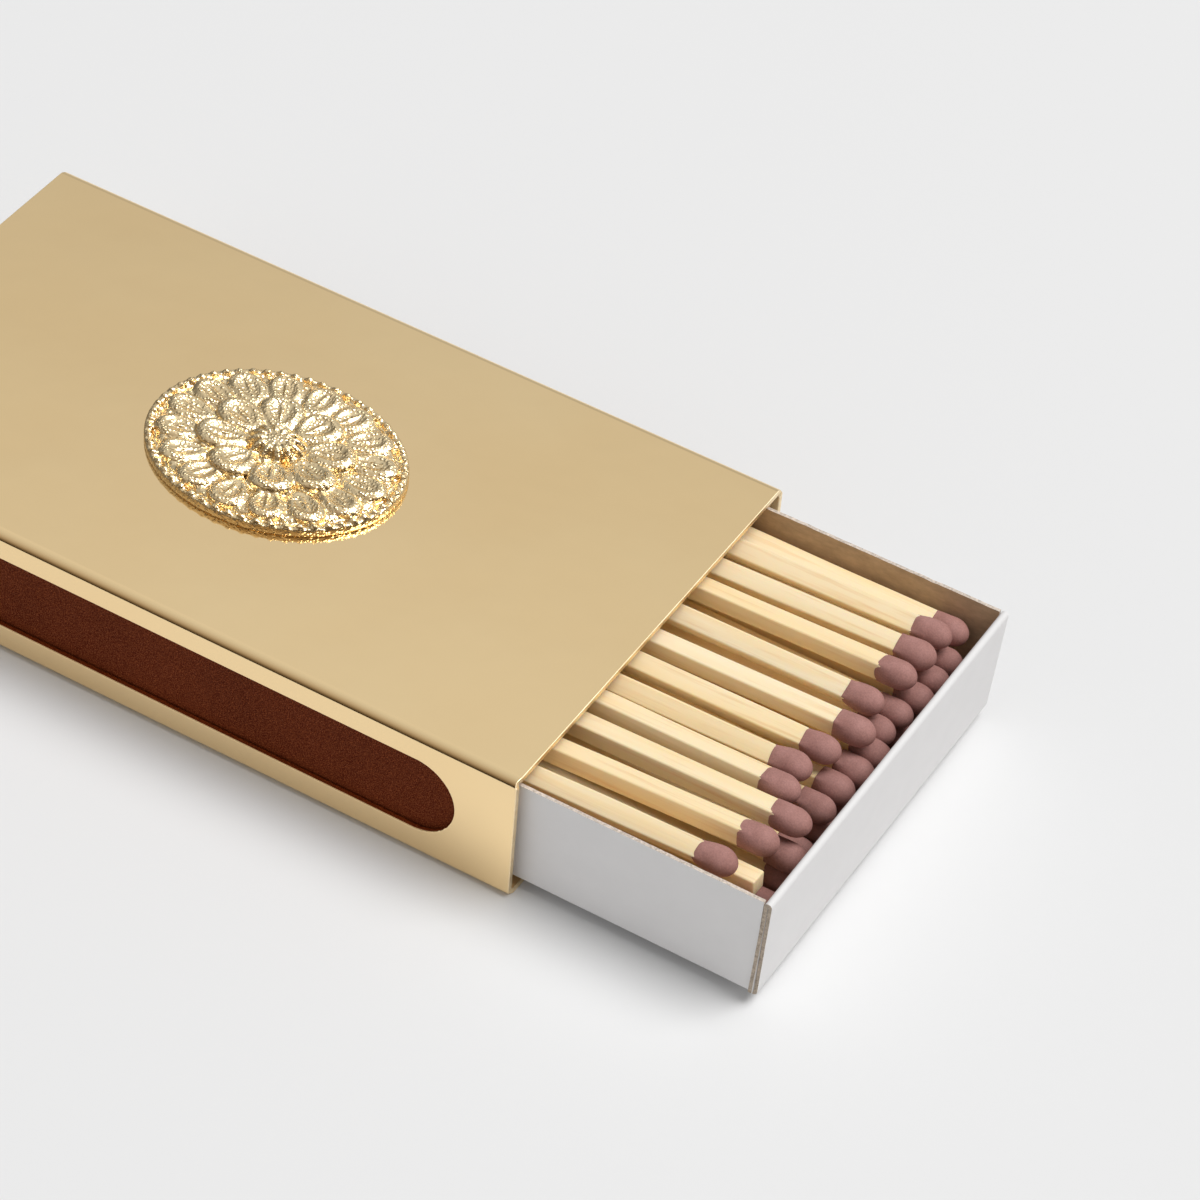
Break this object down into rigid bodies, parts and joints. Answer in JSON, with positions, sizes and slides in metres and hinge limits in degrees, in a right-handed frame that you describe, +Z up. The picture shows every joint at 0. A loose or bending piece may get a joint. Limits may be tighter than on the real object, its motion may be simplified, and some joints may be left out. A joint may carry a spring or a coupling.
{
  "type": "matchbox holder",
  "caption": "Metal sleeve that slides over a card matchbox, with slots that bare the striking strips, an oval rosette on top, and a sliding tray of long matches.",
  "frame": {"origin": "middle of the sleeve's underside, on the surface that it rests on", "axes": "+X along the sleeve towards the open end of the tray, +Z up, -Y towards the near side"},
  "size_m": [0.1511, 0.067, 0.0238],
  "materials": {
    "brass_sheet": "fine satin polish",
    "brass_casting": "polished casting",
    "cover_card": "plain coated card",
    "striking_coat": "fine gritty coat",
    "tray_card": "plain coated card, raw cut edges",
    "splint_wood": "sawn pale softwood",
    "head_compound": "matte dipped compound"
  },
  "bodies": {
    "holder": {"sleeve": "brass_sheet", "rosette": "brass_casting"},
    "matchbox": {"card_cover": "cover_card", "striker_near": "striking_coat", "striker_far": "striking_coat"},
    "tray": {"tray": "tray_card", "top_splint_01": "splint_wood", "top_splint_02": "splint_wood", "top_splint_03": "splint_wood", "top_splint_04": "splint_wood", "top_splint_05": "splint_wood", "top_splint_06": "splint_wood", "top_splint_07": "splint_wood", "top_splint_08": "splint_wood", "top_splint_09": "splint_wood", "top_splint_10": "splint_wood", "top_splint_11": "splint_wood", "top_splint_12": "splint_wood", "top_head_01": "head_compound", "top_head_02": "head_compound", "top_head_03": "head_compound", "top_head_04": "head_compound", "top_head_05": "head_compound", "top_head_06": "head_compound", "top_head_07": "head_compound", "top_head_08": "head_compound", "top_head_09": "head_compound", "top_head_10": "head_compound", "top_head_11": "head_compound", "top_head_12": "head_compound", "second_splint_01": "splint_wood", "second_splint_02": "splint_wood", "second_splint_03": "splint_wood", "second_splint_04": "splint_wood", "second_splint_05": "splint_wood", "second_splint_06": "splint_wood", "second_splint_07": "splint_wood", "second_splint_08": "splint_wood", "second_splint_09": "splint_wood", "second_splint_10": "splint_wood", "second_splint_11": "splint_wood", "second_splint_12": "splint_wood", "second_head_01": "head_compound", "second_head_02": "head_compound", "second_head_03": "head_compound", "second_head_04": "head_compound", "second_head_05": "head_compound", "second_head_06": "head_compound", "second_head_07": "head_compound", "second_head_08": "head_compound", "second_head_09": "head_compound", "second_head_10": "head_compound", "second_head_11": "head_compound", "second_head_12": "head_compound", "lower_splints": "splint_wood", "lower_heads": "head_compound"}
  },
  "joints": [
    {"name": "matchbox_slide", "type": "slide", "parent": "holder", "child": "matchbox", "axis": [1, 0, 0], "range_m": [-0.1145, 0.1145]},
    {"name": "tray_slide", "type": "slide", "parent": "matchbox", "child": "tray", "axis": [1, 0, 0], "range_m": [-0.0362, 0.077]}
  ]
}
